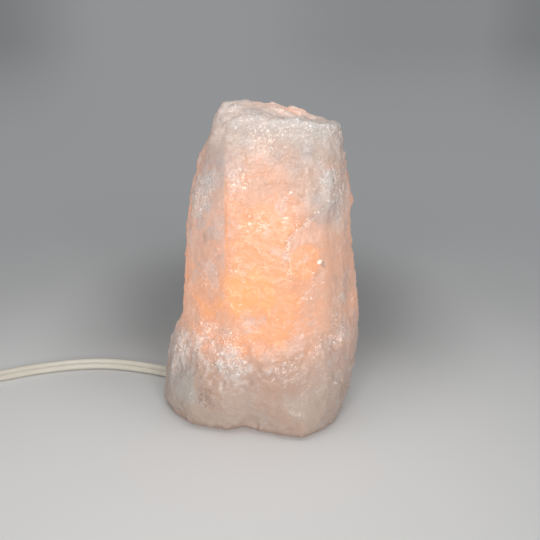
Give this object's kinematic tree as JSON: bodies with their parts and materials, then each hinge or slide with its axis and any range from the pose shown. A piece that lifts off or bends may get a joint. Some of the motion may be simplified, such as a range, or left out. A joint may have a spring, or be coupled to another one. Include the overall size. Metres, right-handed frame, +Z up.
{
  "type": "crystal table lamp",
  "caption": "Rough rose quartz block, bored from below, standing over a small screw lampholder and lit bulb; flat twin cord with a roller switch and a flat-blade plug.",
  "frame": {"origin": "on the table, in the middle of the rock", "axes": "+Z up along the bore, the bulb and the holder; the broad front face looks to -Y; the cord leaves at the back left"},
  "size_m": [0.4273, 0.1441, 0.1949],
  "materials": {
    "rose_quartz": "rough broken crystal, milky, pink where the bulb shines through",
    "clear_rubber": "clear soft bumper",
    "chromed_steel": "bright",
    "zinc_steel": "zinc plated",
    "black_moulding": "satin",
    "ivory_vinyl": "soft satin vinyl",
    "ivory_moulding": "half gloss",
    "black_wire": "satin",
    "white_wire": "satin",
    "brass": "bright",
    "solder": "dull",
    "black_glass": "gloss",
    "bulb_glass": "clear",
    "nickel_wire": "fine wire",
    "filament": "glowing",
    "brown_moulding": "satin",
    "black_tie": "satin"
  },
  "bodies": {
    "holder": {"holder_plate": "chromed_steel", "clip_feet": "chromed_steel", "clip_rivets": "chromed_steel", "cord_cap": "black_moulding", "cap_screws": "zinc_steel", "cord_strain_relief": "ivory_vinyl", "line_wire": "black_wire", "neutral_wire": "white_wire", "lampholder_body": "black_moulding", "terminal_screws": "brass", "centre_contact": "brass", "screw_shell": "brass", "cord_lead": "ivory_vinyl", "switch_base": "ivory_moulding", "switch_cover": "ivory_moulding", "switch_screws": "zinc_steel", "wheel_pin": "chromed_steel", "contact_posts": "brass", "contact_leaf": "brass", "live_wires": "black_wire", "through_wire": "white_wire", "cord_run": "ivory_vinyl", "cord_coil": "ivory_vinyl", "cord_tie": "black_tie", "cord_tail": "ivory_vinyl", "plug_strain_relief": "ivory_vinyl", "plug_body": "ivory_vinyl", "narrow_blade": "brass", "wide_blade": "brass"},
    "rock": {"crystal_block": "rose_quartz", "bumper_feet": "clear_rubber"},
    "left_spring": {"left_clip": "chromed_steel"},
    "right_spring": {"right_clip": "chromed_steel"},
    "bulb_rise": {"bulb_tip_contact": "solder"},
    "bulb": {"bulb_insulator": "black_glass", "bulb_screw_base": "brass", "bulb_glass": "bulb_glass", "bulb_stem": "bulb_glass", "bulb_support_wires": "nickel_wire", "bulb_filament": "filament"},
    "wheel": {"thumb_wheel": "brown_moulding"}
  },
  "joints": [
    {"name": "crystal_lift", "type": "slide", "parent": "holder", "child": "rock", "axis": [0, 0, 1], "range_m": [0, 0.11]},
    {"name": "right_clip_squeeze", "type": "hinge", "parent": "holder", "child": "right_spring", "pos_m": [0.01582, 0, 0.01365], "axis": [0, -1, 0], "range_deg": [0, 8], "stiffness_Nm_per_rad": 0.2},
    {"name": "left_clip_squeeze", "type": "hinge", "parent": "holder", "child": "left_spring", "pos_m": [-0.01582, 0, 0.01365], "axis": [0, 1, 0], "range_deg": [0, 10], "stiffness_Nm_per_rad": 0.2},
    {"name": "bulb_unscrew_rise", "type": "slide", "parent": "holder", "child": "bulb_rise", "axis": [0, 0, 1], "range_m": [0, 0.01143]},
    {"name": "bulb_unscrew", "type": "hinge", "parent": "bulb_rise", "child": "bulb", "pos_m": [0, 0, 0.04], "axis": [0, 0, 1], "range_deg": [0, 1620]},
    {"name": "switch_wheel", "type": "hinge", "parent": "holder", "child": "wheel", "pos_m": [-0.252, 0.0305, 0.0085], "axis": [0, 0, 1], "continuous": true}
  ],
  "couplings": [
    {"joint": "left_clip_squeeze", "follows": "right_clip_squeeze", "ratio": 1},
    {"joint": "bulb_unscrew", "follows": "bulb_unscrew_rise", "rad_per_m": 2473.7}
  ]
}
